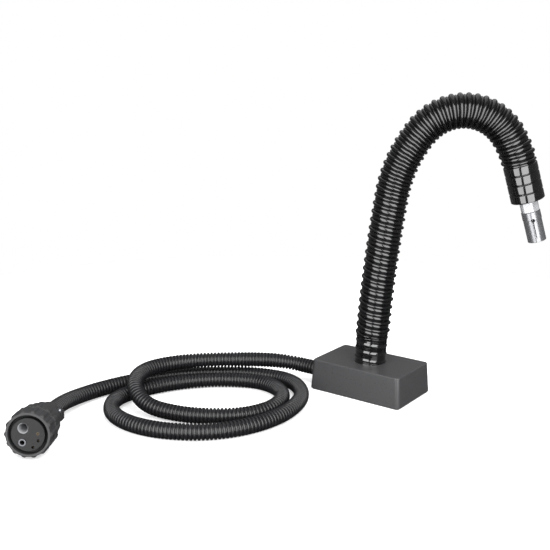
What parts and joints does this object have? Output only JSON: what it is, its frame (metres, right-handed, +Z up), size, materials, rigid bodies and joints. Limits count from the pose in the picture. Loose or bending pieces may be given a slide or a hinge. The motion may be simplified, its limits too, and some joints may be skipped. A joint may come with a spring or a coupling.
{
  "type": "solder fume extraction arm",
  "caption": "Weighted base with a bendable ribbed neck and a slit metal nozzle, and a long ribbed supply hose coiled to a multi-way plug with a lobed coupling ring.",
  "frame": {"origin": "middle of the underside of the anti-slip pad, on the bench", "axes": "+Z up; +X along the base, away from the end that the supply hose leaves; the neck hooks forward in an upright plane turned 36.6 degrees from +X towards +Y"},
  "size_m": [0.4277, 0.5209, 0.3625],
  "materials": {
    "housing_paint": "fine textured dark grey powder coat on a die-cast box",
    "plate_steel": "zinc plated sheet steel",
    "pad_rubber": "black anti-slip rubber sheet",
    "ballast_iron": "rough grey cast iron",
    "screw_steel": "zinc plated screws",
    "socket_nylon": "turned black nylon",
    "gland_nylon": "moulded black nylon",
    "duct_silicone": "translucent grey silicone tube",
    "line_plastic": "blue polyurethane air line",
    "lead_pvc": "black PVC lead",
    "cuff_shrink": "glossy black heat-shrink cuff",
    "neck_hose_pvc": "glossy black ribbed PVC hose",
    "core_steel": "interlocked steel gooseneck",
    "ferrule_aluminium": "turned aluminium",
    "nozzle_chrome": "polished chrome plated brass",
    "supply_hose_polyamide": "semi-gloss dark grey ribbed polyamide conduit",
    "plug_plastic": "moulded dark grey glass-filled plastic",
    "insert_plastic": "moulded dark grey plastic",
    "seal_rubber": "black rubber gasket",
    "clip_steel": "blackened spring steel",
    "port_plastic": "light grey moulded tube",
    "contact_brass": "turned brass contacts"
  },
  "bodies": {
    "root": {"air_line": "line_plastic", "air_port": "nozzle_chrome", "anti_slip_pad": "pad_rubber", "back_nut": "plug_plastic", "ballast_block": "ballast_iron", "ballast_screws": "screw_steel", "base_housing": "housing_paint", "base_plate": "plate_steel", "base_plate_screws": "screw_steel", "clamp_lower": "plug_plastic", "clamp_screws": "screw_steel", "clamp_upper": "plug_plastic", "contact_sockets": "contact_brass", "face_seal": "seal_rubber", "gland_nut": "gland_nylon", "hose_gland": "gland_nylon", "neck_boot": "cuff_shrink", "neck_socket": "socket_nylon", "plug_body": "plug_plastic", "plug_insert": "insert_plastic", "ring_clip": "clip_steel", "signal_lead": "lead_pvc", "socket_nut": "socket_nylon", "suction_elbow": "duct_silicone", "suction_port": "port_plastic", "supply_hose": "supply_hose_polyamide", "neck_hose_00": "neck_hose_pvc", "gooseneck_core_00": "core_steel"},
    "neck_link_01": {"neck_hose_01": "neck_hose_pvc", "gooseneck_core_01": "core_steel"},
    "neck_link_02": {"neck_hose_02": "neck_hose_pvc", "gooseneck_core_02": "core_steel"},
    "neck_link_03": {"neck_hose_03": "neck_hose_pvc", "gooseneck_core_03": "core_steel"},
    "neck_link_04": {"neck_hose_04": "neck_hose_pvc", "gooseneck_core_04": "core_steel"},
    "neck_link_05": {"neck_hose_05": "neck_hose_pvc", "gooseneck_core_05": "core_steel"},
    "neck_link_06": {"neck_hose_06": "neck_hose_pvc", "gooseneck_core_06": "core_steel"},
    "neck_link_07": {"neck_hose_07": "neck_hose_pvc", "gooseneck_core_07": "core_steel"},
    "neck_link_08": {"neck_hose_08": "neck_hose_pvc", "gooseneck_core_08": "core_steel"},
    "neck_link_09": {"neck_hose_09": "neck_hose_pvc", "gooseneck_core_09": "core_steel"},
    "neck_link_10": {"neck_hose_10": "neck_hose_pvc", "gooseneck_core_10": "core_steel"},
    "neck_link_11": {"neck_hose_11": "neck_hose_pvc", "gooseneck_core_11": "core_steel"},
    "neck_link_12": {"neck_hose_12": "neck_hose_pvc", "gooseneck_core_12": "core_steel", "tip_sleeve": "cuff_shrink", "tip_ferrule": "ferrule_aluminium", "nozzle_collar": "nozzle_chrome"},
    "nozzle": {"nozzle_sleeve": "nozzle_chrome"},
    "plug_ring": {"coupling_ring": "plug_plastic"}
  },
  "joints": [
    {"name": "neck_sway_1", "type": "hinge", "parent": "root", "child": "neck_link_01", "pos_m": [0.00242, 0.0018, 0.10193], "axis": [-0.8, -0.5941, 0.0834], "range_deg": [-12, 12]},
    {"name": "neck_lean_1", "type": "hinge", "parent": "neck_link_01", "child": "neck_link_02", "pos_m": [0.0055, 0.00408, 0.13375], "axis": [-0.5962, 0.8028, 0], "range_deg": [-15, 15]},
    {"name": "neck_sway_2", "type": "hinge", "parent": "neck_link_02", "child": "neck_link_03", "pos_m": [0.00816, 0.00606, 0.16557], "axis": [-0.7978, -0.5925, 0.1116], "range_deg": [-12, 12]},
    {"name": "neck_lean_2", "type": "hinge", "parent": "neck_link_03", "child": "neck_link_04", "pos_m": [0.01123, 0.00834, 0.19734], "axis": [-0.5962, 0.8028, 0], "range_deg": [-15, 15]},
    {"name": "neck_sway_3", "type": "hinge", "parent": "neck_link_04", "child": "neck_link_05", "pos_m": [0.01472, 0.01093, 0.22905], "axis": [-0.7929, -0.5888, 0.1569], "range_deg": [-12, 12]},
    {"name": "neck_curl_1", "type": "hinge", "parent": "neck_link_05", "child": "neck_link_06", "pos_m": [0.01929, 0.01433, 0.26051], "axis": [-0.5962, 0.8028, 0], "range_deg": [-10.52, 1.42]},
    {"name": "neck_curl_2", "type": "hinge", "parent": "neck_link_06", "child": "neck_link_07", "pos_m": [0.02839, 0.02108, 0.29038], "axis": [-0.5962, 0.8028, 0], "range_deg": [-11.71, 1.57]},
    {"name": "neck_curl_3", "type": "hinge", "parent": "neck_link_07", "child": "neck_link_08", "pos_m": [0.04216, 0.03131, 0.31733], "axis": [-0.5962, 0.8028, 0], "range_deg": [-20.19, 2.71]},
    {"name": "neck_curl_4", "type": "hinge", "parent": "neck_link_08", "child": "neck_link_09", "pos_m": [0.06236, 0.04631, 0.33652], "axis": [-0.5962, 0.8028, 0], "range_deg": [-29.77, 4]},
    {"name": "neck_curl_5", "type": "hinge", "parent": "neck_link_09", "child": "neck_link_10", "pos_m": [0.08754, 0.06501, 0.34069], "axis": [-0.5962, 0.8028, 0], "range_deg": [-29.77, 4]},
    {"name": "neck_curl_6", "type": "hinge", "parent": "neck_link_10", "child": "neck_link_11", "pos_m": [0.11105, 0.08248, 0.32873], "axis": [-0.5962, 0.8028, 0], "range_deg": [-23.61, 3.17]},
    {"name": "neck_curl_7", "type": "hinge", "parent": "neck_link_11", "child": "neck_link_12", "pos_m": [0.12944, 0.09613, 0.30517], "axis": [-0.5962, 0.8028, 0], "range_deg": [-27.89, 3.75]},
    {"name": "nozzle_turn", "type": "hinge", "parent": "neck_link_12", "child": "nozzle", "pos_m": [0.14949, 0.11102, 0.21975], "axis": [0.2253, 0.1673, -0.9598], "continuous": true},
    {"name": "plug_ring_turn", "type": "hinge", "parent": "root", "child": "plug_ring", "pos_m": [-0.1836, -0.36801, 0.02648], "axis": [0.5733, -0.8127, 0.1045], "continuous": true}
  ],
  "couplings": [
    {"joint": "neck_sway_2", "follows": "neck_sway_1", "ratio": 1},
    {"joint": "neck_lean_2", "follows": "neck_lean_1", "ratio": 1},
    {"joint": "neck_sway_3", "follows": "neck_sway_1", "ratio": 1},
    {"joint": "neck_curl_1", "follows": "neck_curl_5", "ratio": 0.35344},
    {"joint": "neck_curl_2", "follows": "neck_curl_5", "ratio": 0.39321},
    {"joint": "neck_curl_3", "follows": "neck_curl_5", "ratio": 0.67793},
    {"joint": "neck_curl_4", "follows": "neck_curl_5", "ratio": 0.99971},
    {"joint": "neck_curl_6", "follows": "neck_curl_5", "ratio": 0.79299},
    {"joint": "neck_curl_7", "follows": "neck_curl_5", "ratio": 0.93657}
  ]
}
